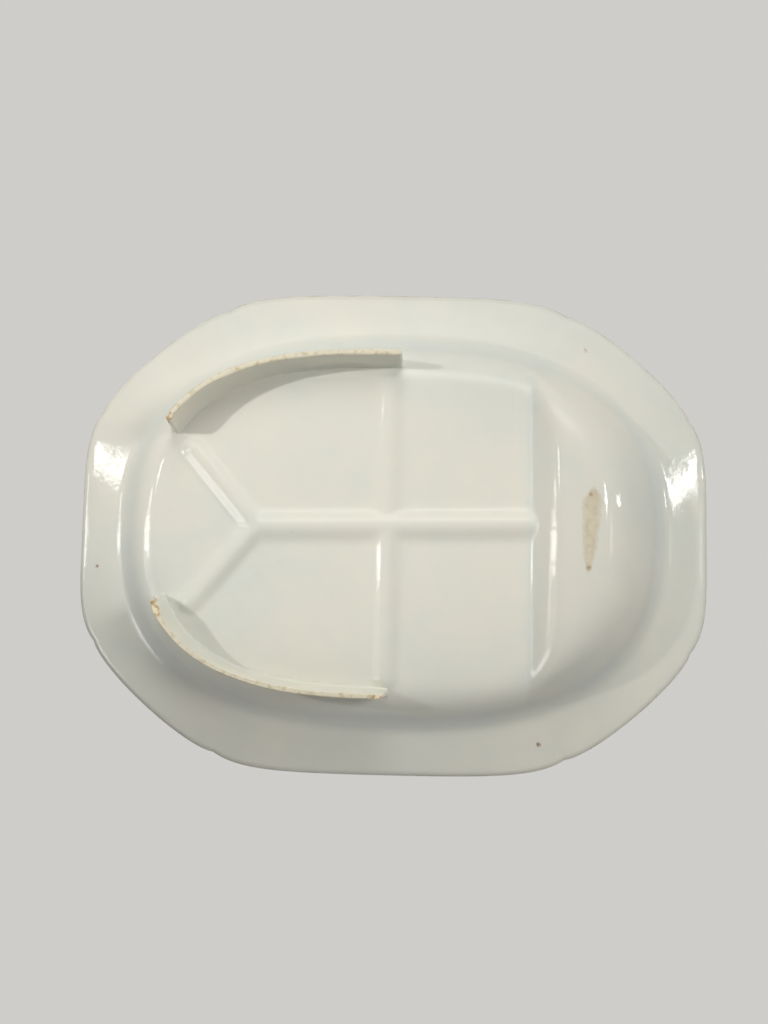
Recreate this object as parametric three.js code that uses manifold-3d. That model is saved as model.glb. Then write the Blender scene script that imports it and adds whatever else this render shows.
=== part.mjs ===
import * as THREE from "three";
import { mergeVertices } from "three/addons/utils/BufferGeometryUtils.js";
import Module from "manifold-3d";

// A well-and-tree meat platter, face up on the table at z = 0. Millimetres.
// +X points to the gravy well. The dish is one pressed sheet of clay, carried by
// two foot strips under its shallow end and by the worn bottom of the well.

// Whole platter.
const LENGTH = 520; // over the rim, along X
const WIDTH = 400; // over the rim, along Y
const HEIGHT = 60; // table to the top of the rim
const BODY = 6.5; // thickness of the pressed sheet
const CLEARANCE = 0.3; // left between a foot strip and the dish

// Rim outline: a long octagon of bowed sides with a nick at each corner.
const END_NICK_Y = 96.3; // nick at the end of an end side, from the long axis
const END_NICK_IN = 14; // and how far it lies inside the end
const SIDE_NICK_X = 143.5; // nick at the end of a long side, from the short axis
const SIDE_NICK_IN = 15.7; // and how far it lies inside the long side
const BULGE = 13.5; // swell of a diagonal side beside its nicks
const BULGE_REACH = 21; // length over which the diagonal swells
const RIM_RISE = 7; // rise of the rim from the bowl to the edge
const LIP = 5; // width of the rounded edge

// Bowl: an oval, which the hand-pressing left a little off the rim's middle.
const RIM_END = 40.5; // rim width at the ends
const RIM_SIDE = 42.8; // rim width at the long sides
const BOWL_Y = 1.2; // bowl centre from the rim's centre
const BOWL_POWER = 2.5; // squareness of the oval at the rim
const FLOOR_POWER = 2.8; // squareness of the oval at the floor
const WALL_RUN = 30; // width of the wall from the rim to the floor
const WALL_REACH = 66; // run over which a wall curves down to the bottom of the well
const CREASE = 8; // half width of the soft bend between rim and wall
const SHOULDER = 16; // rounding where the wall meets the floor
const FLOOR_HIGH = 26; // floor underside above the table at the shallow end
const FLOOR_LOW = 20; // and at the edge of the well
const MIDDLE_Y = -3; // middle of channels and strips from the rim's centre

// Gravy well.
const WELL_RUN = 109.5; // from the rim of the bowl to the straight edge of the well
const WELL_SLOPE = 44; // from the straight edge to the lowest line of the bottom
const WEAR = 0.7; // clay worn off the bottom of the well by the table

// Juice channels.
const TREE_LEFT = 103.5; // from the rim of the bowl to the fork of the trunk
const FORK_Y = 3.5; // fork off the channels' long axis
const CROSS_X = -3.5; // cross channel
const BRANCH_X = 53; // reach of a branch along X
const BRANCH_Y = 61; // and along Y
const TRUNK_RIDGE = 17; // half width of the trunk's ridge
const SIDE_RIDGE = 14.5; // half width of the other ridges
const RIDGE_DEEP = 3.9; // ridge below the floor's underside
const GROOVE_IN = 5; // groove half width less than its ridge's
const GROOVE_DEEP = 3.6; // channel below the floor's face
const CHANNEL_END = 14; // length over which a channel runs out

// Foot strips, on an oval inside the bowl's rim.
const FOOT_IN_END = 24.5; // lip of the strip inside the bowl's rim at the end
const FOOT_IN_SIDE = 22.7; // and at the long side
const FOOT_LIP = 4.2; // thickness at the table
const FOOT_BASE = 7.5; // thickness where it joins the floor
const FOOT_FLARE = 3.5; // lip outside the base
const FOOT_SLANT = 9; // base longer than the lip at each end
const FRONT_SPAN = [33, 91]; // degrees round the oval from the shallow end
const REAR_SPAN = [27.5, 88]; // and of the other strip

const halfLength = LENGTH / 2;
const halfWidth = WIDTH / 2;
const bowlA = halfLength - RIM_END;
const bowlB = halfWidth - RIM_SIDE;
const bowlZ = HEIGHT - BODY - RIM_RISE;
const wellX = bowlA - WELL_RUN;
const forkX = TREE_LEFT - bowlA;
const above = HEIGHT * 1.5;

const wasm = await Module();
wasm.setup();

// Turns a geometry into a solid for joining and cutting.
function solidOf(geometry) {
  const bare = new THREE.BufferGeometry();
  bare.setAttribute("position", geometry.getAttribute("position"));
  bare.setIndex(geometry.index);
  const merged = mergeVertices(bare, 1e-4);
  return new wasm.Manifold(
    new wasm.Mesh({
      numProp: 3,
      vertProperties: new Float32Array(merged.attributes.position.array),
      triVerts: new Uint32Array(merged.index.array),
    }),
  );
}

// A named mesh from a solid.
function meshOf(name, solid, material) {
  const made = solid.getMesh();
  const geometry = new THREE.BufferGeometry();
  geometry.setAttribute("position", new THREE.BufferAttribute(made.vertProperties, 3));
  geometry.setIndex(new THREE.BufferAttribute(made.triVerts, 1));
  geometry.computeVertexNormals();
  const mesh = new THREE.Mesh(geometry, material);
  mesh.name = name;
  return mesh;
}

// Skins closed rings of points and caps the first and the last ring.
function loft(rings) {
  const count = rings[0].length;
  const points = rings.flat();
  const index = [];
  for (let j = 0; j + 1 < rings.length; j++) {
    for (let i = 0; i < count; i++) {
      const a = j * count + i;
      const b = j * count + ((i + 1) % count);
      index.push(a, b, b + count, a, b + count, a + count);
    }
  }
  const last = (rings.length - 1) * count;
  for (const [start, flip] of [[0, true], [last, false]]) {
    const middle = new THREE.Vector3();
    for (let i = 0; i < count; i++) {
      middle.addScaledVector(points[start + i], 1 / count);
    }
    const hub = points.push(middle) - 1;
    for (let i = 0; i < count; i++) {
      const a = start + i;
      const b = start + ((i + 1) % count);
      index.push(hub, flip ? b : a, flip ? a : b);
    }
  }
  return new THREE.BufferGeometry().setFromPoints(points).setIndex(index);
}

// Moves a line of [run, z] points to its left by a distance, point by point.
function offsetLine(line, distance) {
  return line.map(([run, z], i) => {
    const [runA, zA] = line[Math.max(i - 1, 0)];
    const [runB, zB] = line[Math.min(i + 1, line.length - 1)];
    const length = Math.hypot(runB - runA, zB - zA);
    const across = (distance * (zA - zB)) / length;
    return [run + across, z + (distance * (runB - runA)) / length];
  });
}

const smoothMin = (a, b, width) => {
  const near = Math.max(width - Math.abs(a - b), 0) / width;
  return Math.min(a, b) - (near * near * width) / 4;
};

// Rim outline, counterclockwise from +X: one quarter in three curves, then mirrored.
const quarterCurves = (() => {
  const end = new THREE.Vector2(halfLength, 0);
  const endNick = new THREE.Vector2(halfLength - END_NICK_IN, END_NICK_Y);
  const sideNick = new THREE.Vector2(SIDE_NICK_X, halfWidth - SIDE_NICK_IN);
  const side = new THREE.Vector2(0, halfWidth);
  const along = sideNick.clone().sub(endNick).normalize();
  const out = new THREE.Vector2(along.y, -along.x);
  const swell = (from, way) =>
    from.clone().addScaledVector(along, way * BULGE_REACH).addScaledVector(out, BULGE);
  return [
    [
      new THREE.CubicBezierCurve(
        end,
        new THREE.Vector2(halfLength - END_NICK_IN * 0.02, END_NICK_Y * 0.47),
        new THREE.Vector2(halfLength + END_NICK_IN * 0.14, END_NICK_Y * 0.8),
        endNick,
      ),
      6,
    ],
    [
      new THREE.CubicBezierCurve(endNick, swell(endNick, 1), swell(sideNick, -1), sideNick),
      11,
    ],
    [
      new THREE.CubicBezierCurve(
        sideNick,
        new THREE.Vector2(SIDE_NICK_X * 0.855, halfWidth - SIDE_NICK_IN * 0.08),
        new THREE.Vector2(SIDE_NICK_X * 0.6, halfWidth),
        side,
      ),
      8,
    ],
  ];
})();
const quarter = quarterCurves.flatMap(([curve, steps]) => curve.getPoints(steps).slice(0, -1));
const half = [
  ...quarter,
  new THREE.Vector2(0, halfWidth),
  ...quarter.slice(1).reverse().map((p) => new THREE.Vector2(-p.x, p.y)),
];
const outline = [...half, ...half.map((p) => new THREE.Vector2(-p.x, -p.y))];

// A point of the bowl's oval, set in from the bowl's rim, in the direction of (u, v).
function ovalPoint(u, v, setIn) {
  const toFloor = Math.min(Math.max(setIn / WALL_RUN, 0), 1);
  const power = THREE.MathUtils.lerp(BOWL_POWER, FLOOR_POWER, toFloor);
  const k = (Math.abs(u) ** power + Math.abs(v) ** power) ** (-1 / power);
  return new THREE.Vector2((bowlA - setIn) * u * k, (bowlB - setIn) * v * k + BOWL_Y);
}

// One spoke runs from each outline point to the bowl.
const spokes = outline.map((edge) => {
  const u = edge.x / halfLength;
  const v = edge.y / halfWidth;
  const bowl = ovalPoint(u, v, 0);
  return { u, v, bowl, out: edge.clone().sub(bowl), width: edge.distanceTo(bowl) };
});

// A point on a spoke: run counts inwards from the bowl's rim, negative on the rim.
function spokePoint(spoke, run, z) {
  const p =
    run > 0
      ? ovalPoint(spoke.u, spoke.v, run)
      : spoke.bowl.clone().addScaledVector(spoke.out, -run / spoke.width);
  return new THREE.Vector3(p.x, p.y, z);
}

const floorZ = (x) =>
  THREE.MathUtils.mapLinear(x, WALL_RUN - bowlA, wellX, FLOOR_HIGH, FLOOR_LOW);

// Depth of the underside below the bowl's rim: a soft bend, then one long curve.
const wallShares = [0, 0.14, 0.29, 0.46, 0.64, 0.82, 1, 1.2, 1.42, 1.64, 1.86, 2.08, 2.3];
const wallDepth = (run) => {
  const bend = Math.max(run + CREASE, 0) ** 2 / (4 * CREASE);
  const fall = Math.min(run < CREASE ? bend : run, WALL_REACH);
  return (bowlZ + WEAR) * (1 - (1 - fall / WALL_REACH) ** 2);
};

// Underside of the rim on one spoke, from the bowl out to the edge.
const rimLine = ({ width }) => [
  [-width, bowlZ + RIM_RISE + 2],
  [-(width - LIP * 0.3), bowlZ + RIM_RISE + 0.7],
  [-(width - LIP), bowlZ + RIM_RISE],
  [-width * 0.6, bowlZ + RIM_RISE * 0.52],
  [-width * 0.3, bowlZ + RIM_RISE * 0.22],
  [-width * 0.18, bowlZ + RIM_RISE * 0.11 - wallDepth(-width * 0.18)],
  [-width * 0.08, bowlZ + RIM_RISE * 0.03 - wallDepth(-width * 0.08)],
];

// Underside of wall and floor on one spoke; a deep line goes on into the well.
const wallLine = (spoke, deep) =>
  wallShares
    .filter((share) => deep || share <= 1)
    .map((share) => {
      const run = share * WALL_RUN;
      const depth = wallDepth(run);
      const floor = bowlZ - floorZ(ovalPoint(spoke.u, spoke.v, run).x);
      return [run, bowlZ - (deep ? depth : smoothMin(depth, floor, SHOULDER))];
    });

// Rings from lines, one line for each spoke, in the order of the line's points.
const ringsFrom = (lines) =>
  lines[0].map((_, j) => lines.map((line, i) => spokePoint(spokes[i], ...line[j])));

// Everything above the underside: rim, wall and floor.
function dishOuter() {
  const lines = spokes.map((spoke) => [
    ...wallLine(spoke, false).reverse(),
    ...rimLine(spoke).reverse(),
    [-spoke.width, above],
  ]);
  return solidOf(loft(ringsFrom(lines)));
}

// Everything above the face, a sheet's thickness higher, with the edge rounded over.
function dishInner() {
  const lines = spokes.map((spoke) => {
    const line = [...rimLine(spoke).slice(2), ...wallLine(spoke, false)];
    return [
      ...offsetLine(line, BODY).reverse(),
      [-(spoke.width - LIP * 0.7), bowlZ + RIM_RISE + BODY],
      [-(spoke.width - LIP * 0.3), bowlZ + RIM_RISE + BODY - 1],
      [-spoke.width, bowlZ + RIM_RISE + BODY - 2.6],
      [-(spoke.width + 4), bowlZ + RIM_RISE],
      [-(spoke.width + 4), above],
    ];
  });
  return solidOf(loft(ringsFrom(lines)));
}

// The well: the deep bowl behind a straight slope. A thickness makes its hollow.
function well(thickness) {
  const lines = spokes.map((spoke) => [
    ...offsetLine(wallLine(spoke, true), thickness).reverse(),
    [-1, above],
  ]);
  const deep = FLOOR_LOW + WEAR;
  const slope = [
    [wellX - 6, FLOOR_LOW + 1.2],
    [wellX - 2, FLOOR_LOW + 0.2],
    [wellX + WELL_SLOPE * 0.06, FLOOR_LOW - deep * 0.12],
    [wellX + WELL_SLOPE * 0.23, FLOOR_LOW - deep * 0.46],
    [wellX + WELL_SLOPE * 0.39, FLOOR_LOW - deep * 0.77],
    [wellX + WELL_SLOPE * 0.5, FLOOR_LOW - deep * 0.91],
    [wellX + WELL_SLOPE * 0.62, FLOOR_LOW - deep * 0.975],
    [wellX + WELL_SLOPE, -WEAR],
    [halfLength, -WEAR],
  ];
  const line = offsetLine(slope, thickness);
  const shape = new THREE.Shape([
    ...line.map(([x, z]) => new THREE.Vector2(x, z)),
    new THREE.Vector2(halfLength, above),
    new THREE.Vector2(line[0][0], above),
  ]);
  const block = new THREE.ExtrudeGeometry(shape, { depth: WIDTH, bevelEnabled: false });
  block.rotateX(Math.PI / 2).translate(0, halfWidth, 0);
  block.setIndex([...Array(block.getAttribute("position").count).keys()]);
  return solidOf(loft(ringsFrom(lines))).intersect(solidOf(block));
}

// A channel from one plan point to another, rounded in section, running out at its
// ends. It hangs below its base plane by deep and reaches above it by up.
function channel(from, to, halfWide, deep, lift, up) {
  const length = from.distanceTo(to);
  const along = to.clone().sub(from).normalize();
  const side = new THREE.Vector2(-along.y, along.x);
  const ends = [0, 0.12, 0.35, 0.65, 1].map((t) => t * CHANNEL_END);
  const stations = [...ends, length / 2, ...ends.map((t) => length - t).reverse()];
  const section = [...Array(11).keys()].map((k) => k / 5 - 1);
  const rings = stations.map((s) => {
    const t = Math.min(s, length - s, CHANNEL_END) / CHANNEL_END;
    const full = Math.sin((t * Math.PI) / 2);
    const wide = halfWide * (0.4 + 0.6 * full);
    const low = -0.6 + (deep + 0.6) * full;
    const place = (across, z) => {
      const p = from.clone().addScaledVector(along, s).addScaledVector(side, across);
      return new THREE.Vector3(p.x, p.y, floorZ(p.x) + lift + z);
    };
    return [
      ...section.map((c) => place(wide * c, 0.2 - (low + 0.2) * (0.5 + 0.5 * Math.cos(Math.PI * c)))),
      place(wide, up),
      place(-wide, up),
    ];
  });
  return solidOf(loft(rings));
}

// The tree: trunk into the well, cross channel, two branches.
function tree(narrower, deep, lift, up) {
  const floorB = bowlB - WALL_RUN;
  const at = (x, y) => new THREE.Vector2(x, y + MIDDLE_Y);
  const branchPoint = (share, hand) =>
    at(forkX - BRANCH_X * share, FORK_Y + hand * BRANCH_Y * share);
  const trunkStart = at(forkX - TRUNK_RIDGE * 0.6, FORK_Y);
  const trunkEnd = at(wellX + WELL_SLOPE * 0.35, -FORK_Y * 0.6);
  const runs = [
    [trunkStart, trunkEnd, TRUNK_RIDGE],
    [at(CROSS_X, -floorB), at(CROSS_X, floorB), SIDE_RIDGE],
    [branchPoint(-0.1, -1), branchPoint(1, -1), SIDE_RIDGE],
    [branchPoint(-0.1, 1), branchPoint(1, 1), SIDE_RIDGE],
  ];
  return runs
    .map(([from, to, wide]) => channel(from, to, wide - narrower, deep, lift, up))
    .reduce((all, one) => all.add(one));
}

// A foot strip: a flared section along the oval, longer at the base than at the lip.
function footStrip([startDegrees, endDegrees], hand) {
  const top = bowlZ;
  const a = bowlA - FOOT_IN_END;
  const b = bowlB - FOOT_IN_SIDE;
  const start = THREE.MathUtils.degToRad(startDegrees);
  const end = THREE.MathUtils.degToRad(endDegrees);
  const slant = FOOT_SLANT / Math.sqrt(a * b) / FLOOR_HIGH;
  const path = (angle, outward) => {
    const c = Math.cos(angle);
    const s = Math.sin(angle);
    const k = (Math.abs(c) ** FLOOR_POWER + s ** FLOOR_POWER) ** (-1 / FLOOR_POWER);
    return [-(a + outward) * c * k, hand * (b + outward) * s * k + MIDDLE_Y];
  };
  const face = (z, sign) => {
    const t = z / FLOOR_HIGH;
    return -FOOT_FLARE * t + (sign * (FOOT_LIP + (FOOT_BASE - FOOT_LIP) * t)) / 2;
  };
  const section = [
    [face(0, 1) - 0.6, 0],
    [face(0.8, 1), 0.8],
    [face(top, 1), top],
    [face(top, -1), top],
    [face(0.8, -1), 0.8],
    [face(0, -1) + 0.6, 0],
  ];
  const steps = 20;
  const rings = [...Array(steps + 1).keys()].map((n) =>
    section.map(([outward, z]) => {
      const angle = THREE.MathUtils.lerp(start - slant * z, end + slant * z, n / steps);
      return new THREE.Vector3(...path(angle, outward), z);
    }),
  );
  if (hand < 0) rings.reverse();
  return solidOf(loft(rings));
}

// Dish: outside less inside, cut flat by wear where the well rests on the table.
const table = solidOf(new THREE.BoxGeometry(LENGTH * 2, WIDTH * 2, above).translate(0, 0, -above / 2));
const outside = dishOuter().add(well(0)).add(tree(0, RIDGE_DEEP, 0, BODY / 2)).subtract(table);
const inside = dishInner().add(well(BODY)).add(tree(GROOVE_IN, GROOVE_DEEP, BODY, BODY));
const cutter = outside.translate([0, 0, -CLEARANCE]).add(outside);

const glaze = new THREE.MeshStandardMaterial({ color: 0xe8e7de, roughness: 0.16, metalness: 0 });
const stripGlaze = new THREE.MeshStandardMaterial({ color: 0xe2dccb, roughness: 0.3, metalness: 0 });

const group = new THREE.Group();
group.name = "well_and_tree_platter";
group.add(
  meshOf("dish", outside.subtract(inside), glaze),
  meshOf("foot_strip_front", footStrip(FRONT_SPAN, -1).subtract(cutter), stripGlaze),
  meshOf("foot_strip_rear", footStrip(REAR_SPAN, 1).subtract(cutter), stripGlaze),
);

export default group;
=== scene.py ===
from math import pi, radians

import bmesh
import bpy
import numpy as np
from mathutils import Matrix, Vector


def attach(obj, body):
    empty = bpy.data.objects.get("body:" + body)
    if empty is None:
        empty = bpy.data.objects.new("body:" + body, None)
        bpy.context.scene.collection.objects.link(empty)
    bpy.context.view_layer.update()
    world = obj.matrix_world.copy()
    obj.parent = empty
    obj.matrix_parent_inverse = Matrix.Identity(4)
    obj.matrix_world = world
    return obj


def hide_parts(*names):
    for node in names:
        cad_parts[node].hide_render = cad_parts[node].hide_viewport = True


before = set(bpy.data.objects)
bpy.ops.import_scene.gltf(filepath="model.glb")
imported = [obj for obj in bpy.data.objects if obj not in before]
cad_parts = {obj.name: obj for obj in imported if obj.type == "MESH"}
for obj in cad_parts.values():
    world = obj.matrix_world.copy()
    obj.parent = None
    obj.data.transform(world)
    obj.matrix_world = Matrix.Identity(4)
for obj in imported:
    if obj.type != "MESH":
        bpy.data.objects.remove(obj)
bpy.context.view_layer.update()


# Dish: the pressed clay body of the platter, one sheet of white earthenware formed over a
# mould, so that the juice channels and the gravy well of the face stand out as ridges and a
# bulge underneath. The edge was trimmed by hand to a nicked octagon and sponged round.
MM = 0.001  # sizes are in millimetres until a finished mesh is scaled to metres
HALF_LENGTH, HALF_WIDTH, BODY = 260.0, 200.0, 6.5
END_NICK, SIDE_NICK = (HALF_LENGTH - 14, 96.3), (143.5, HALF_WIDTH - 15.7)
END_BULGE = ((HALF_LENGTH - 0.28, 45.3), (HALF_LENGTH + 1.96, 77.0))
SIDE_BULGE = ((122.7, HALF_WIDTH - 1.3), (86.1, HALF_WIDTH))
NICK_EASE, DIAGONAL_SWELL = 21, 13.5
RIM_RISE, LIP = 7.7, 5.0
BOWL_A, BOWL_B, BOWL_Y, BOWL_Z = 219.5, 157.2, 1.2, 46.5
BOWL_POWER, FLOOR_POWER, WALL_RUN = 2.5, 2.8, 30.0
WALL_REACH, WALL_PAST, CREASE = 66.0, 1.4, 8.0
SHOULDER, WELL_SHOULDER, SHOULDER_FADE = 16.0, 9.0, 7.0  # rounding from wall to floor and to well
FLOOR_HIGH, FLOOR_LOW, MIDDLE_Y = 26.0, 20.0, -3.0
WELL_X, WELL_BEFORE, WELL_EDGE, WELL_STEEP = 110.0, 12.0, 3.2, 0.95
WELL_LOW_X, WELL_CREST = 156.0, 8.0
CROWN_ALONG, CROWN_ACROSS, CROWN_PAST = 0.005, 0.0004, 1.55
RIDGE_DEEP, RIDGE_END, RIDGE_NARROW = 5.2, 13.0, 0.45
RIDGE_JOIN, RIDGE_FOOT = 0.2, 1.5
TRUNK = ((-117, MIDDLE_Y + 3.5), (134, MIDDLE_Y - 2), 17.5)
SIDE_RIDGES = (  # start, end, half width, share of the full height
    ((-3.5, MIDDLE_Y - 129), (-3.5, MIDDLE_Y + 12), 16.0, 0.68),
    ((-3.5, MIDDLE_Y - 12), (-3.5, MIDDLE_Y + 134), 15.0, 1.0),
    ((-103, MIDDLE_Y + 10), (-169, MIDDLE_Y - 67), 15.0, 0.95),
    ((-103, MIDDLE_Y - 3), (-168, MIDDLE_Y + 74), 15.0, 0.95),
)
AROUND_END, AROUND_DIAGONAL, AROUND_SIDE = 28, 52, 48
LIP_INSETS = (0.08, 0.35, 0.9, 1.7, 2.7, 3.8, LIP)
RIM_SHARES = (0.8, 0.71, 0.62, 0.53, 0.44, 0.36, 0.28, 0.21, 0.15, 0.1, 0.06, 0.03, 0)
WALL_RUNS = (1.5, 3, 4.5, 6, 8, 10, 12, 14, 16, 18, 20, 22, 24, 26, 28, WALL_RUN)
WELL_CUTS = (-6, -3.5, -2, -1, 0, 1, 2, 3.5, 6)
UNDER, EDGE, FACE = 0.0, 0.5, 1.0  # the three sides of the sheet that a vertex may lie on
FLOOR_MARK = 999  # run of the floor's vertices until run_inside gives the true one
SLOPE_STEP, STEEP_LIMIT = 0.4, 1.75
POOL_RUN, POOL_WIDE, WELL_POOL_WIDE, FLOOR_RUN = 3, 7, 5, 20  # where the glaze ran together
BRIM_WIDE = 0.9


def smooth_min(a, b, width):
    near = np.maximum(width - np.abs(a - b), 0) / width
    return np.minimum(a, b) - near * near * width / 4


def smooth_max(a, b, width):
    return -smooth_min(-a, -b, width)


def hinge(run, rounding):
    """Zero before run 0 and run after it, with the corner rounded."""
    return (run + np.sqrt(run * run + rounding * rounding)) / 2


def bell(value, middle, width):
    return np.exp(-(((value - middle) / width) ** 2))


def bezier(points, steps):
    t = (np.arange(steps) / steps)[:, None]
    a, b, c, d = (np.array(p, float) for p in points)
    return a * (1 - t) ** 3 + 3 * b * t * (1 - t) ** 2 + 3 * c * t * t * (1 - t) + d * t**3


def rim_outline():
    """The nicked octagon, counterclockwise from +X: a quarter in three curves, mirrored twice."""
    end_nick, side_nick = np.array(END_NICK), np.array(SIDE_NICK)
    along = (side_nick - end_nick) / np.linalg.norm(side_nick - end_nick)
    swell = DIAGONAL_SWELL * np.array((along[1], -along[0]))
    ease = NICK_EASE * along
    diagonal = (end_nick, end_nick + ease + swell, side_nick - ease + swell, side_nick)
    quarter = np.vstack([
        bezier(((HALF_LENGTH, 0), *END_BULGE, end_nick), AROUND_END),
        bezier(diagonal, AROUND_DIAGONAL),
        bezier((side_nick, *SIDE_BULGE, (0, HALF_WIDTH)), AROUND_SIDE),
    ])
    half = np.vstack([quarter, (0, HALF_WIDTH), quarter[:0:-1] * (-1, 1)])
    return np.vstack([half, -half])


def bowl_power(run):
    """How square the bowl's oval is, from its rim to the foot of the wall."""
    return BOWL_POWER + (FLOOR_POWER - BOWL_POWER) * np.clip(run / WALL_RUN, 0, 1)


def oval(direction, run):
    """Points of the bowl's oval, set in by run from the bowl's rim, along plan directions."""
    power = bowl_power(run)
    size = (np.abs(direction) ** power).sum(1) ** (-1 / power)
    return direction * size[:, None] * (BOWL_A - run, BOWL_B - run) + (0, BOWL_Y)


def run_inside(x, y):
    """How far plan points lie inside the bowl's rim, found by halving."""
    low, high = np.zeros_like(x), np.full_like(x, BOWL_B - 0.5)
    for _ in range(36):
        middle = (low + high) / 2
        power = bowl_power(middle)
        reach = (np.abs(x) / (BOWL_A - middle)) ** power
        reach = reach + (np.abs(y - BOWL_Y) / (BOWL_B - middle)) ** power
        low, high = np.where(reach < 1, middle, low), np.where(reach < 1, high, middle)
    return low


def ridge(x, y, start, end, half_wide):
    """Height, from 0 to 1, of one rounded ridge that runs out at both ends."""
    (x0, y0), (x1, y1) = start, end
    length = np.hypot(x1 - x0, y1 - y0)
    along = ((x - x0) * (x1 - x0) + (y - y0) * (y1 - y0)) / length
    across = ((x - x0) * (y1 - y0) - (y - y0) * (x1 - x0)) / length
    to_end = np.clip(np.minimum(along, length - along) / RIDGE_END, 0, 1)
    full = np.sin(to_end * pi / 2)
    wide = half_wide * (RIDGE_NARROW + (1 - RIDGE_NARROW) * full)
    return full * (0.5 + 0.5 * np.cos(pi * np.clip(across / wide, -1, 1)))


def under_z(x, y, run):
    """Height of the dish's underside above the table at plan points."""
    bend = np.maximum(run + CREASE, 0) ** 2 / (4 * CREASE)
    fall = np.minimum(np.where(run < CREASE, bend, run), WALL_REACH)
    wall = (BOWL_Z + WALL_PAST) * (1 - (1 - fall / WALL_REACH) ** 2)
    past = (x + BOWL_A - WALL_RUN) / (WELL_X + BOWL_A - WALL_RUN)
    floor = BOWL_Z - FLOOR_HIGH - (FLOOR_LOW - FLOOR_HIGH) * past
    drop = WELL_STEEP * hinge(x - WELL_X, WELL_EDGE)
    crown = CROWN_ALONG * (x - WELL_LOW_X) ** 2 + CROWN_ACROSS * y**2
    well = smooth_min(floor + drop, BOWL_Z + CROWN_PAST - crown, WELL_CREST)
    deep = np.where(x > WELL_X - WELL_BEFORE, well, floor)
    on_floor = np.exp(-np.maximum(deep - floor, 0) / SHOULDER_FADE)
    soft = WELL_SHOULDER + (SHOULDER - WELL_SHOULDER) * on_floor
    tree = ridge(x, y, *TRUNK)
    for start, end, half_wide, high in SIDE_RIDGES:
        tree = smooth_max(tree, high * ridge(x, y, start, end, half_wide), RIDGE_JOIN)
    deep = smooth_max(deep, floor + RIDGE_DEEP * np.clip(tree, 0, None), RIDGE_FOOT)
    return np.maximum(BOWL_Z - smooth_min(wall, deep, soft), 0)


def pressing_wave(x, y, low):
    """The slight unevenness of a sheet pressed by hand, none where the dish rests."""
    wave = 0.25 * np.sin(x / 41 + 0.7) * np.sin(y / 37 + 1.9) + 0.12 * np.sin(x / 17 - y / 23)
    return wave * np.clip(low / 12, 0, 1)


def point_values(mesh, name, values):
    made = mesh.attributes.new(name, "FLOAT", "POINT")
    made.data.foreach_set("value", values.astype(np.float32))


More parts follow.
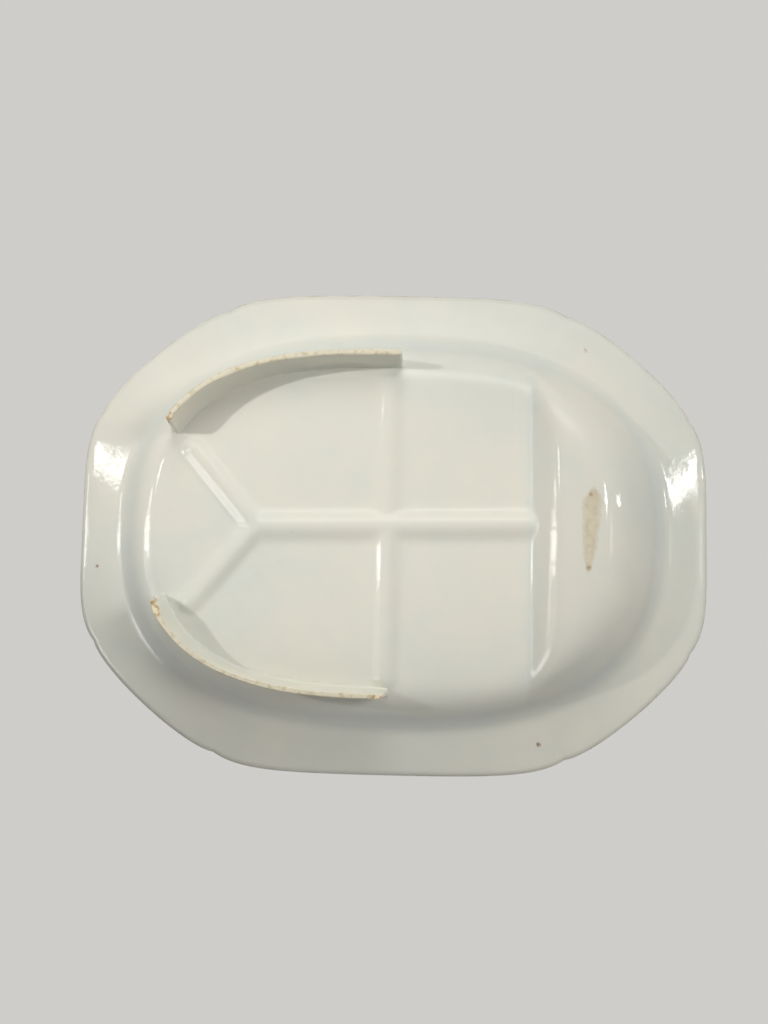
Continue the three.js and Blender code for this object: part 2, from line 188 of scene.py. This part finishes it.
def dish_mesh():
    bm = bmesh.new()
    spoke_of = bm.verts.layers.int.new("spoke")
    run_of = bm.verts.layers.float.new("run")
    rim_of = bm.verts.layers.float.new("rim")
    face_of = bm.verts.layers.float.new("face")
    edge = rim_outline()
    direction = edge / (HALF_LENGTH, HALF_WIDTH)
    bowl = oval(direction, 0)
    width = np.linalg.norm(edge - bowl, axis=1)
    count = len(edge)
    half_round = count // 4 * 2
    corner = AROUND_END + AROUND_DIAGONAL // 2

    def place(verts, plan, run, face):
        for v in verts:
            i = v[spoke_of]
            v.co = (plan[i][0], plan[i][1], 0)
            v[run_of], v[rim_of], v[face_of] = run[i], width[i], face

    first = bmesh.ops.create_circle(bm, segments=count, radius=1)["verts"]
    first.sort(key=lambda v: np.arctan2(v.co.y, v.co.x) % (2 * pi))
    for i, v in enumerate(first):
        v[spoke_of] = i
    place(first, edge, -width, EDGE)
    outer_edges = list(bm.edges)

    rings = [(edge + (bowl - edge) * (e / width)[:, None], e - width) for e in LIP_INSETS]
    rings += [(bowl + (edge - bowl) * s, -s * width) for s in RIM_SHARES]
    rings += [(oval(direction, r), np.full(count, float(r))) for r in WALL_RUNS]
    for face in (UNDER, FACE):
        edges = outer_edges
        for plan, run in rings:
            made = bmesh.ops.extrude_edge_only(bm, edges=edges)["geom"]
            edges = [g for g in made if isinstance(g, bmesh.types.BMEdge) and g.is_boundary]
            place([g for g in made if isinstance(g, bmesh.types.BMVert)], plan, run, face)
        before = len(bm.verts)
        long_sides = []
        for e in edges:
            one, other = (v[spoke_of] for v in e.verts)
            on_side = corner < (one + other) / 2 % half_round < half_round - corner
            if on_side and abs(one - other) == 1:
                long_sides.append(e)
        bmesh.ops.grid_fill(bm, edges=long_sides, use_smooth=True)
        bm.verts.ensure_lookup_table()
        for v in bm.verts[before:]:
            v[run_of], v[rim_of], v[face_of] = FLOOR_MARK, 1, face
    for cut in WELL_CUTS:
        inside = [f for f in bm.faces if all(v[run_of] > 2 for v in f.verts)]
        parts = dict.fromkeys(inside)
        for f in inside:
            parts.update(dict.fromkeys((*f.edges, *f.verts)))
        bmesh.ops.bisect_plane(
            bm, geom=list(parts), dist=1e-4, plane_co=(WELL_X + cut, 0, 0), plane_no=(1, 0, 0)
        )
    for f in bm.faces:
        f.smooth = True

    bm.verts.ensure_lookup_table()
    x = np.array([v.co.x for v in bm.verts])
    y = np.array([v.co.y for v in bm.verts])
    run = np.array([v[run_of] for v in bm.verts])
    rim = np.array([v[rim_of] for v in bm.verts])
    face = np.round(np.array([v[face_of] for v in bm.verts]) * 2) / 2
    run = np.where(run > 0, run_inside(x, y), run)

    def height(px, py, prun):
        return under_z(px, py, prun) + RIM_RISE * np.clip(-prun / rim, 0, 1)

    def slope(dx, dy):
        ahead = height(x + dx, y + dy, run_inside(x + dx, y + dy))
        return np.where(run > 0, (ahead - low) / SLOPE_STEP, 0)

    low = height(x, y, run)
    steep = np.sqrt(1 + slope(SLOPE_STEP, 0) ** 2 + slope(0, SLOPE_STEP) ** 2)
    thick = BODY * np.minimum(steep, STEEP_LIMIT)
    inset = np.clip((LIP - (rim + run)) / LIP, 0, 1)
    rounding = BODY / 2 * (1 - np.sqrt(1 - inset**2))
    z = np.where(face < FACE, low + rounding, low + thick - rounding) + pressing_wave(x, y, low)
    for v, height_now in zip(bm.verts, z):
        v.co.z = height_now
    bmesh.ops.scale(bm, vec=(MM, MM, MM), verts=bm.verts)
    bmesh.ops.recalc_face_normals(bm, faces=bm.faces)
    mesh = bpy.data.meshes.new("dish_shell")
    bm.to_mesh(mesh)
    bm.free()
    pool = bell(run, POOL_RUN, POOL_WIDE) + bell(x, WELL_X, WELL_POOL_WIDE) * (run > FLOOR_RUN)
    point_values(mesh, "pool", np.clip(pool, 0, 1))
    point_values(mesh, "brim", bell(rim + run, 0, BRIM_WIDE))
    return mesh


def put(data, name):
    placed = bpy.data.objects.new(name, data)
    bpy.context.scene.collection.objects.link(placed)
    return placed


def tint(red, green, blue):
    """A colour given as it looks on a screen, as the linear colour that a shader takes."""
    share = np.array((red, green, blue)) / 255
    linear = np.where(share < 0.04045, share / 12.92, ((share + 0.055) / 1.055) ** 2.4)
    return (*linear.tolist(), 1.0)


def node(tree, kind, inputs=None, **settings):
    made = tree.nodes.new(kind)
    for name, value in settings.items():
        setattr(made, name, value)
    for socket, value in (inputs or {}).items():
        if isinstance(value, bpy.types.NodeSocket):
            tree.links.new(value, made.inputs[socket])
        else:
            made.inputs[socket].default_value = value
    return made


def noise(tree, point, scale, detail=2.0, distortion=0.0):
    values = {"Vector": point, "Scale": scale, "Detail": detail, "Distortion": distortion}
    return node(tree, "ShaderNodeTexNoise", values).outputs["Fac"]


def between(tree, value, low, high, to_low=0.0, to_high=1.0, kind="SMOOTHSTEP"):
    """Value taken from the range low to high, and eased into the range to_low to to_high."""
    values = {"Value": value, "From Min": low, "From Max": high}
    values.update({"To Min": to_low, "To Max": to_high})
    return node(tree, "ShaderNodeMapRange", values, interpolation_type=kind).outputs["Result"]


def maths(tree, operation, a, b=0.0):
    return node(tree, "ShaderNodeMath", {0: a, 1: b}, operation=operation).outputs["Value"]


def vector_maths(tree, operation, a, b=(0.0, 0.0, 0.0)):
    return node(tree, "ShaderNodeVectorMath", {0: a, 1: b}, operation=operation).outputs


MIX_A, MIX_B, MIX_RESULT = 6, 7, 2  # the colour sockets of a Mix node


def mixed(tree, share, a, b):
    values = {"Factor": share, MIX_A: a, MIX_B: b}
    return node(tree, "ShaderNodeMix", values, data_type="RGBA").outputs[MIX_RESULT]


def attribute(tree, name):
    return node(tree, "ShaderNodeAttribute", attribute_name=name).outputs["Fac"]


def material(name):
    made = bpy.data.materials.new(name)
    made.use_nodes = True
    made.node_tree.nodes.clear()
    return made, made.node_tree


def effect(name, inputs, outputs):
    """A new node group with its sockets, and the outputs of its input node."""
    group = bpy.data.node_groups.new(name, "ShaderNodeTree")
    for in_out, sockets in (("INPUT", inputs), ("OUTPUT", outputs)):
        for socket, kind in sockets.items():
            group.interface.new_socket(socket, in_out=in_out, socket_type="NodeSocket" + kind)
    return group, node(group, "NodeGroupInput").outputs


def stain_group():
    """A ragged spot round a point: 1 in its middle, 0 outside its radius."""
    inputs = {"Point": "Vector", "Centre": "Vector", "Radius": "Float"}
    group, given = effect("stain", inputs, {"Mask": "Float"})
    away = vector_maths(group, "DISTANCE", given["Point"], given["Centre"])["Value"]
    share = maths(group, "DIVIDE", away, given["Radius"])
    ragged = maths(group, "MULTIPLY", noise(group, given["Point"], 700.0, 3.0), 1.1)
    mask = between(group, maths(group, "ADD", share, ragged), 1.5, 0.75)
    node(group, "NodeGroupOutput", {"Mask": mask})
    return group


def glaze_group():
    """Lead glaze on white clay: drifting colour, cooler where it pooled, and a faint ripple."""
    inputs = {"Point": "Vector", "White": "Color", "Cool": "Color", "Pool": "Float"}
    outputs = {"Color": "Color", "Roughness": "Float", "Height": "Float"}
    group, given = effect("lead_glaze", inputs, outputs)
    point = given["Point"]
    drift = between(group, noise(group, point, 7.0, 3.0, 0.8), 0.4, 0.72, 0.0, 0.5)
    fine = between(group, noise(group, point, 55.0, 4.0), 0.35, 0.75, 0.0, 0.25)
    pooled = maths(group, "MULTIPLY", given["Pool"], 0.45)
    cool = maths(group, "ADD", maths(group, "ADD", drift, fine), pooled)
    color = mixed(group, maths(group, "MINIMUM", cool, 1.0), given["White"], given["Cool"])
    speck = node(group, "ShaderNodeTexVoronoi", {"Vector": point, "Scale": 90.0})
    dot = between(group, speck.outputs["Distance"], 0.028, 0.016)
    rare = between(group, noise(group, point, 31.0, 1.0), 0.6, 0.66)
    color = mixed(group, maths(group, "MULTIPLY", dot, rare), color, SPECK_BROWN)
    rough = between(group, noise(group, point, 140.0, 3.0), 0.3, 0.7, 0.025, 0.055)
    ripple = maths(group, "MULTIPLY", noise(group, point, 36.0, 1.0), 0.7)
    peel = maths(group, "MULTIPLY", noise(group, point, 130.0, 2.0), 0.42)
    made = {"Color": color, "Roughness": rough, "Height": maths(group, "ADD", ripple, peel)}
    node(group, "NodeGroupOutput", made)
    return group


GLAZE_WHITE, GLAZE_COOL = tint(225, 223, 212), tint(212, 217, 211)
SPECK_BROWN, EDGE_BROWN = tint(120, 104, 84), tint(186, 150, 108)
SPUR_BROWN, SPOT_BROWN = tint(150, 118, 78), tint(160, 136, 100)
WEAR_PALE, WEAR_DARK = tint(208, 194, 162), tint(174, 155, 120)
RIPPLE_STRENGTH, RIPPLE_DEPTH = 0.35, 0.0006
SPUR_MARKS = (  # place and radius in millimetres, as for the spots
    (158.8, -154.3, 49, 3.2),
    (121.7, 171.5, 50, 3.0),
    (-244.3, 34.2, 52, 2.2),
    (8.9, -80.1, 18, 2.2),
)
WEAR_SPOTS = ((152.8, 29.5, 0.3, 3.4), (154.2, -27.5, 0.3, 2.6))
WEAR_START, WEAR_END = -0.037, 0.039  # the wear's place and sizes are in metres
WEAR_MIDDLE, WEAR_HALF, WEAR_NARROWS = 0.1568, 0.0082, 0.0052
WEAR_SHOWS, WEAR_ROUGH, SPOT_SHOWS = 0.62, 0.45, 0.75
GLAZE, STAIN = glaze_group(), stain_group()


def glazed(tree, point, pool, white, cool):
    values = {"Point": point, "Pool": pool, "White": white, "Cool": cool}
    return node(tree, "ShaderNodeGroup", values, node_tree=GLAZE).outputs


def stain(tree, point, centre, radius):
    values = {"Point": point, "Centre": [c * MM for c in centre], "Radius": radius * MM}
    return node(tree, "ShaderNodeGroup", values, node_tree=STAIN).outputs["Mask"]


def surface(tree, color, rough, ripple):
    """The shader of a glazed piece, with the ripple of the glaze as its bump."""
    values = {"Height": ripple, "Strength": RIPPLE_STRENGTH, "Distance": RIPPLE_DEPTH}
    normal = node(tree, "ShaderNodeBump", values).outputs["Normal"]
    values = {"Base Color": color, "Roughness": rough, "Normal": normal}
    shader = node(tree, "ShaderNodeBsdfPrincipled", values)
    node(tree, "ShaderNodeOutputMaterial", {"Surface": shader.outputs["BSDF"]})


def well_wear(tree, point):
    """Masks of the worn patch under the well, which tapers to both ends, and of its dirt."""
    parts = node(tree, "ShaderNodeSeparateXYZ", {"Vector": point}).outputs
    down = between(tree, parts["Y"], WEAR_START, WEAR_END, kind="LINEAR")
    narrower = maths(tree, "MULTIPLY", down, WEAR_NARROWS)
    middle = maths(tree, "SUBTRACT", WEAR_MIDDLE, narrower)
    half = maths(tree, "SUBTRACT", WEAR_HALF, narrower)
    across = maths(tree, "DIVIDE", maths(tree, "SUBTRACT", parts["X"], middle), half)
    from_start = between(tree, down, 0.0, 0.22, 0.05)
    from_end = between(tree, down, 1.0, 0.72, 0.05)
    taper = maths(tree, "MINIMUM", from_start, from_end)
    ragged = maths(tree, "SUBTRACT", noise(tree, point, 170.0, 4.0), 0.5)
    ragged = maths(tree, "MULTIPLY", ragged, 0.9)
    away = maths(tree, "DIVIDE", maths(tree, "ABSOLUTE", across), taper)
    away = maths(tree, "ADD", away, ragged)
    worn = between(tree, away, 1.3, 0.6)
    worn = maths(tree, "MULTIPLY", worn, between(tree, parts["Z"], 0.004, 0.0025))
    worn = maths(tree, "MULTIPLY", worn, between(tree, taper, 0.08, 0.4))
    dirty = between(tree, noise(tree, point, 150.0, 5.0), 0.4, 0.68, 0.0, 0.55)
    dirty = maths(tree, "MAXIMUM", dirty, between(tree, away, 0.7, 0.95, 0.0, 0.6))
    dirty = maths(tree, "MAXIMUM", dirty, between(tree, down, 0.3, 0.1, 0.0, 0.6))
    return worn, dirty


def dish_glaze():
    made, tree = material("dish_glaze")
    point = node(tree, "ShaderNodeTexCoord").outputs["Object"]
    glaze = glazed(tree, point, attribute(tree, "pool"), GLAZE_WHITE, GLAZE_COOL)
    rubbed = between(tree, noise(tree, point, 60.0, 3.0), 0.42, 0.62, 0.15, 0.75)
    rubbed = maths(tree, "MULTIPLY", attribute(tree, "brim"), rubbed)
    color = mixed(tree, rubbed, glaze["Color"], EDGE_BROWN)
    for *centre, radius in SPUR_MARKS:
        color = mixed(tree, stain(tree, point, centre, radius), color, SPUR_BROWN)
    worn, dirty = well_wear(tree, point)
    bare = mixed(tree, dirty, WEAR_PALE, WEAR_DARK)
    color = mixed(tree, maths(tree, "MULTIPLY", worn, WEAR_SHOWS), color, bare)
    for *centre, radius in WEAR_SPOTS:
        spot = maths(tree, "MULTIPLY", stain(tree, point, centre, radius), SPOT_SHOWS)
        color = mixed(tree, spot, color, SPOT_BROWN)
    rougher = maths(tree, "MULTIPLY", worn, WEAR_ROUGH)
    rough = maths(tree, "ADD", glaze["Roughness"], rougher)
    surface(tree, color, rough, glaze["Height"])
    return made


dish = put(dish_mesh(), "dish_shell")
dish.data.materials.append(dish_glaze())
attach(dish, "root")
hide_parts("dish")


# Foot strips: two strips of the same clay, cut with slanted ends, bent to the curve of the
# floor and luted on with slip, which leaves a fillet along the join. The lips were wiped
# bare of glaze before the firing and have chipped on the table since.
FOOT_A, FOOT_B, FOOT_BASE = 195.0, 134.5, 7.0
FOOT_STEPS, FOOT_PASSES = 96, 4
FILLET_IN, FILLET_OUT = 0.9, 1.6
FILLET_FROM, FILLET_RISE = 0.76, 0.235
SLANT_POWER = 8  # keeps the slant of a cut end near that end
SUNK = 1.08  # the root ends inside the dish, as a share of the strip's height
SIDE_HEIGHTS = (0.035, 0.09, 0.2, 0.35, 0.5, 0.64, 0.76, 0.84, 0.9, 0.945, 0.975, 0.995)
LIP_ROUND, LIP_UNEVEN = 0.03, 0.35
CHIP_GRAIN, CHIP_EDGE = 0.5, 0.6
RUB_SIDE, RUB_SHARE = 0.8, 0.06
END_ROUNDS = ((0.4, 0.95), (0.75, 0.8), (0.9, 0.45))  # steps past the end, share of the thickness
STRIPS = {  # spans in degrees; chips as place along the strip, reach along it and depth
    "foot_strip_front": {
        "span": (33, 91), "hand": -1, "slants": (5, 1), "lip": 4.3, "flare": 3.5,
        "chips": ((0, 0.03, 2.2),),
    },
    "foot_strip_rear": {
        "span": (27.5, 88), "hand": 1, "slants": (5, 4), "lip": 3.7, "flare": 2.0,
        "chips": ((0, 0.075, 6.5), (0.99, 0.035, 1.4)),
    },
}


def strip_section():
    """One section as side and share of the height, from the outer root round the lip."""
    outer = [(1.0, h) for h in SIDE_HEIGHTS[::-1]]
    lip = [(0.86, 0.012), (0.6, 0.0), (0.2, 0.0), (-0.2, 0.0), (-0.6, 0.0), (-0.86, 0.012)]
    inner = [(-1.0, h) for h in SIDE_HEIGHTS]
    root = [(s, SUNK) for s in (-1.0, -0.4, 0.4, 1.0)]
    return np.array(outer + lip + inner + root).T


def strip_mesh(name, span, hand, slants, lip, flare, chips):
    side, share = strip_section()
    start, end = radians(span[0]), radians(span[1])
    bm = bmesh.new()
    spot_of = bm.verts.layers.int.new("spot")
    chip_of = bm.verts.layers.float.new("chip")
    rub_of = bm.verts.layers.float.new("rub")
    first = bmesh.ops.create_circle(bm, segments=len(side), radius=1)["verts"]
    first.sort(key=lambda v: np.arctan2(v.co.y, v.co.x) % (2 * pi))
    for i, v in enumerate(first):
        v[spot_of] = i
    near = np.clip((share - FILLET_FROM) / FILLET_RISE, 0, 1)
    fillet = np.where(side > 0, FILLET_OUT, -FILLET_IN) * (1 - np.sqrt(1 - near**2))

    def ring(n, shrink):
        t = n / FOOT_STEPS
        angle = start + (end - start) * t
        slant = slants[1] * t**SLANT_POWER - slants[0] * (1 - t) ** SLANT_POWER
        uneven = 1 + 0.07 * np.sin(9.1 * t + hand) + 0.05 * np.sin(23 * t)
        z = share * FLOOR_HIGH
        for _ in range(FOOT_PASSES):
            up = np.minimum(z / FLOOR_HIGH, 1)
            turn = angle + slant * z / FLOOR_HIGH / np.sqrt(FOOT_A * FOOT_B)
            half = (lip + (FOOT_BASE - lip) * up) / 2 * uneven
            out = -flare * up + (side * half + fillet) * shrink
            c, s = np.cos(turn), np.sin(turn)
            k = (np.abs(c) ** FLOOR_POWER + np.abs(s) ** FLOOR_POWER) ** (-1 / FLOOR_POWER)
            x = -(FOOT_A + out) * c * k
            y = hand * (FOOT_B + out) * s * k + MIDDLE_Y
            z = share * under_z(x, y, run_inside(x, y))
        dip = LIP_UNEVEN * (0.5 + 0.5 * np.sin(31 * t + 2 * hand) * np.sin(7 * t))
        z = z + np.where(share < LIP_ROUND, dip, 0)
        broken = np.zeros_like(z)
        for at, reach, deep in chips:
            cut = deep * (1 - abs(t - at) / reach) + CHIP_GRAIN * side * np.sin(150 * t)
            broken = np.maximum(broken, np.clip((cut - z) / CHIP_EDGE, 0, 1))
            z = np.maximum(z, cut)
        return x, y, z, broken

    rings = [(-past, shrink) for past, shrink in END_ROUNDS[::-1]]
    rings += [(n, 1.0) for n in range(FOOT_STEPS + 1)]
    rings += [(FOOT_STEPS + past, shrink) for past, shrink in END_ROUNDS]
    edges, verts = list(bm.edges), first
    for number, (n, shrink) in enumerate(rings):
        if number:
            made = bmesh.ops.extrude_edge_only(bm, edges=edges)["geom"]
            verts = [g for g in made if isinstance(g, bmesh.types.BMVert)]
            edges = [g for g in made if isinstance(g, bmesh.types.BMEdge) and g.is_boundary]
        x, y, z, broken = ring(n, shrink)
        for v in verts:
            i = v[spot_of]
            v.co = (x[i], y[i], z[i])
            v[chip_of] = broken[i]
            v[rub_of] = float(side[i] > RUB_SIDE and share[i] < RUB_SHARE)
    bmesh.ops.holes_fill(bm, edges=[e for e in bm.edges if e.is_boundary], sides=0)
    for f in bm.faces:
        f.smooth = True
    bmesh.ops.scale(bm, vec=(MM, MM, MM), verts=bm.verts)
    bmesh.ops.recalc_face_normals(bm, faces=bm.faces)
    mesh = bpy.data.meshes.new(name)
    bm.to_mesh(mesh)
    bm.free()
    return mesh


# The strips carry the dish's glaze, but these colours are painted lighter than GLAZE_WHITE and
# GLAZE_COOL: painted light on the strips' faces.
STRIP_WHITE_PAINTED_LIGHTER, STRIP_COOL_PAINTED_LIGHTER = tint(234, 231, 218), tint(223, 226, 217)
CLAY_PALE, CLAY_GRIMY, CLAY_RUBBED = tint(224, 217, 196), tint(198, 187, 154), tint(178, 162, 122)
CHIP_PALE, CHIP_BROWN = tint(230, 219, 192), tint(186, 160, 120)
BARE_ROUGH = 0.55


def strip_glaze():
    made, tree = material("strip_glaze")
    point = node(tree, "ShaderNodeTexCoord").outputs["Object"]
    height = node(tree, "ShaderNodeSeparateXYZ", {"Vector": point}).outputs["Z"]
    # The glaze colours here are the dish's glaze painted lighter, as painted light on the strips.
    glaze = glazed(tree, point, between(tree, height, 0.012, 0.026), STRIP_WHITE_PAINTED_LIGHTER, STRIP_COOL_PAINTED_LIGHTER)
    ragged = maths(tree, "MULTIPLY", noise(tree, point, 150.0, 3.0), 0.0016)
    bare = between(tree, maths(tree, "SUBTRACT", height, ragged), 0.0008, -0.0004)
    grime = between(tree, noise(tree, point, 210.0, 4.0), 0.48, 0.7, 0.0, 0.85)
    clay = mixed(tree, grime, CLAY_PALE, CLAY_GRIMY)
    rub = between(tree, noise(tree, point, 90.0, 3.0), 0.35, 0.6, 0.1, 0.9)
    rub = maths(tree, "MULTIPLY", attribute(tree, "rub"), rub)
    clay = mixed(tree, rub, clay, CLAY_RUBBED)
    color = mixed(tree, bare, glaze["Color"], clay)
    chip = attribute(tree, "chip")
    grain = between(tree, noise(tree, point, 240.0, 3.0), 0.42, 0.56)
    color = mixed(tree, chip, color, mixed(tree, grain, CHIP_PALE, CHIP_BROWN))
    rougher = maths(tree, "MULTIPLY", maths(tree, "MAXIMUM", bare, chip), BARE_ROUGH)
    rough = maths(tree, "ADD", glaze["Roughness"], rougher)
    surface(tree, color, rough, glaze["Height"])
    return made


STRIP_GLAZE = strip_glaze()
for name, shape in STRIPS.items():
    strip = put(strip_mesh(name + "_clay", **shape), name + "_clay")
    strip.data.materials.append(STRIP_GLAZE)
    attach(strip, "root")
    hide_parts(name)


# Floor: a pale table top under the platter. Seen from below it is clear, so that the
# underside of the platter, which is the side the camera looks at, shows through it. It
# also lets the light from below pass to the underside.
TABLE_HALF, TABLE_DROP, TABLE_PALE = 25.0, 0.0004, tint(214, 212, 208)
bm = bmesh.new()
bmesh.ops.create_grid(bm, x_segments=1, y_segments=1, size=TABLE_HALF)
floor_mesh = bpy.data.meshes.new("table_top")
bm.to_mesh(floor_mesh)
bm.free()
table = put(floor_mesh, "table_top")
table.location.z = -TABLE_DROP
made, tree = material("pale_table")
matte = node(tree, "ShaderNodeBsdfDiffuse", {"Color": TABLE_PALE}).outputs["BSDF"]
clear = node(tree, "ShaderNodeBsdfTransparent").outputs["BSDF"]
below = node(tree, "ShaderNodeNewGeometry").outputs["Backfacing"]
either = node(tree, "ShaderNodeMixShader", {0: below, 1: matte, 2: clear}).outputs["Shader"]
node(tree, "ShaderNodeOutputMaterial", {"Surface": either})
table.data.materials.append(made)
table.visible_shadow = table.visible_diffuse = table.visible_glossy = False


# Room: a pale backdrop, soft light from above, and bright patches below the table that only
# reflections in the glaze show. A spot and four soft lamps light the underside, two lamps
# the face. The camera looks up at the underside from about 0.8 m below the platter.
WARM_WHITE, BACKDROP_PALE = tint(255, 253, 248), tint(206, 205, 202)
LIGHT_BELOW, LIGHT_ABOVE = 0.035, 0.68
GLOWS = (  # direction, reach along each axis, softness of the edge, strength
    ((-0.580, -0.172, -0.797), (0.026, 0.034, 0.05), 0.6, 20.0),
    ((0.576, -0.162, -0.801), (0.024, 0.054, 0.05), 0.5, 26.0),
    ((-0.780, -0.052, -0.620), (0.13, 0.036, 0.16), 0.2, 14.0),
    ((-0.730, -0.120, -0.670), (0.05, 0.022, 0.06), 0.2, 11.0),
    ((-0.700, 0.330, -0.620), (0.15, 0.11, 0.18), 0.4, 6.5),
    ((-0.720, 0.160, -0.650), (0.15, 0.22, 0.18), 0.5, 2.0),
    ((-0.860, 0.020, -0.510), (0.05, 0.08, 0.07), 0.4, 4.0),
    ((0.840, -0.167, -0.516), (0.06, 0.024, 0.08), 0.2, 22.0),
    ((0.680, -0.050, -0.730), (0.04, 0.040, 0.05), 0.4, 4.0),
    ((0.0, -0.560, -0.810), (0.46, 0.13, 0.17), 0.7, 2.6),
)
LAMP_COLOR = (1.0, 0.985, 0.95)
LAMPS = (  # name, place, aim, size, power, cone of a spot, shown in reflections
    ("under_key", (-2.77, -0.642, -1.915), (-0.085, -0.04, 0.03), 0.1, 216, 8.0, False),
    ("under_right", (1.5, -0.42, -1.6), (0.1, 0.0, 0.04), 0.7, 19.5, None, False),
    ("under_top", (0.0, -1.4, -1.1), (0.0, 0.0, 0.04), 1.2, 15.5, None, False),
    ("under_left", (-1.6, -0.2, -1.0), (-0.1, 0.0, 0.04), 1.0, 2.0, None, False),
    ("under_low", (0.0, 1.4, -1.1), (0.0, 0.0, 0.04), 1.2, 5.8, None, False),
    ("over_key", (-0.3, -0.25, 1.8), (0.0, 0.0, 0.04), 0.8, 12, None, True),
    ("over_side", (-1.0, -1.0, 1.6), (0.0, 0.0, 0.04), 0.6, 6, None, False),
)
world = bpy.data.worlds.new("room")
bpy.context.scene.world = world
world.use_nodes = True
tree = world.node_tree
tree.nodes.clear()
ray = node(tree, "ShaderNodeLightPath").outputs
seen = maths(tree, "MAXIMUM", ray["Is Camera Ray"], ray["Is Transmission Ray"])
seen = maths(tree, "MAXIMUM", seen, ray["Is Glossy Ray"])
toward = node(tree, "ShaderNodeTexCoord").outputs["Generated"]
ragged = between(tree, noise(tree, toward, 110.0, 4.0), 0.3, 0.7, -0.45, 0.45)
glow = 1.0
for place, reach, edge, strength in GLOWS:
    off = vector_maths(tree, "SUBTRACT", toward, place)["Vector"]
    share = vector_maths(tree, "DIVIDE", off, reach)["Vector"]
    away = maths(tree, "ADD", vector_maths(tree, "LENGTH", share)["Value"], ragged)
    patch = between(tree, away, 1.0 + edge, 1.0 - edge, 0.0, strength)
    glow = maths(tree, "ADD", patch, glow)
glow = mixed(tree, ray["Is Glossy Ray"], (1.0, 1.0, 1.0, 1.0), glow)
height = node(tree, "ShaderNodeSeparateXYZ", {"Vector": toward}).outputs["Z"]
level = between(tree, height, 0.1, 0.5, LIGHT_BELOW, LIGHT_ABOVE)
ambient = node(tree, "ShaderNodeBackground", {"Color": WARM_WHITE, "Strength": level})
backdrop = node(tree, "ShaderNodeBackground", {"Color": BACKDROP_PALE, "Strength": glow})
either = {0: seen, 1: ambient.outputs["Background"], 2: backdrop.outputs["Background"]}
shown = node(tree, "ShaderNodeMixShader", either).outputs["Shader"]
node(tree, "ShaderNodeOutputWorld", {"Surface": shown})

for name, place, aim, size, power, cone, reflected in LAMPS:
    light = bpy.data.lights.new(name, "SPOT" if cone else "AREA")
    light.energy, light.color = power, LAMP_COLOR
    if cone:
        light.spot_size, light.spot_blend = radians(cone), 1.0
        light.shadow_soft_size = size / 2
    else:
        light.shape, light.size = "DISK", size
    lamp = put(light, name)
    lamp.location = place
    lamp.rotation_euler = (Vector(aim) - Vector(place)).to_track_quat("-Z", "Y").to_euler()
    lamp.visible_glossy = reflected

EYE_PLACE = Vector((0.0102, 0.0574, -0.7741))
EYE_RIGHT = Vector((0.99961, -0.02033, 0.01936))
EYE_FORWARD = Vector((-0.02106, -0.08752, 0.99594))
eye = bpy.data.cameras.new("eye")
eye.lens, eye.sensor_width = 35.156, 36.0
camera = put(eye, "eye")
turned = Matrix((EYE_RIGHT, EYE_RIGHT.cross(EYE_FORWARD), -EYE_FORWARD)).transposed()
camera.matrix_world = Matrix.Translation(EYE_PLACE) @ turned.to_4x4()
bpy.context.scene.camera = camera
bpy.context.scene.view_settings.view_transform = "Standard"
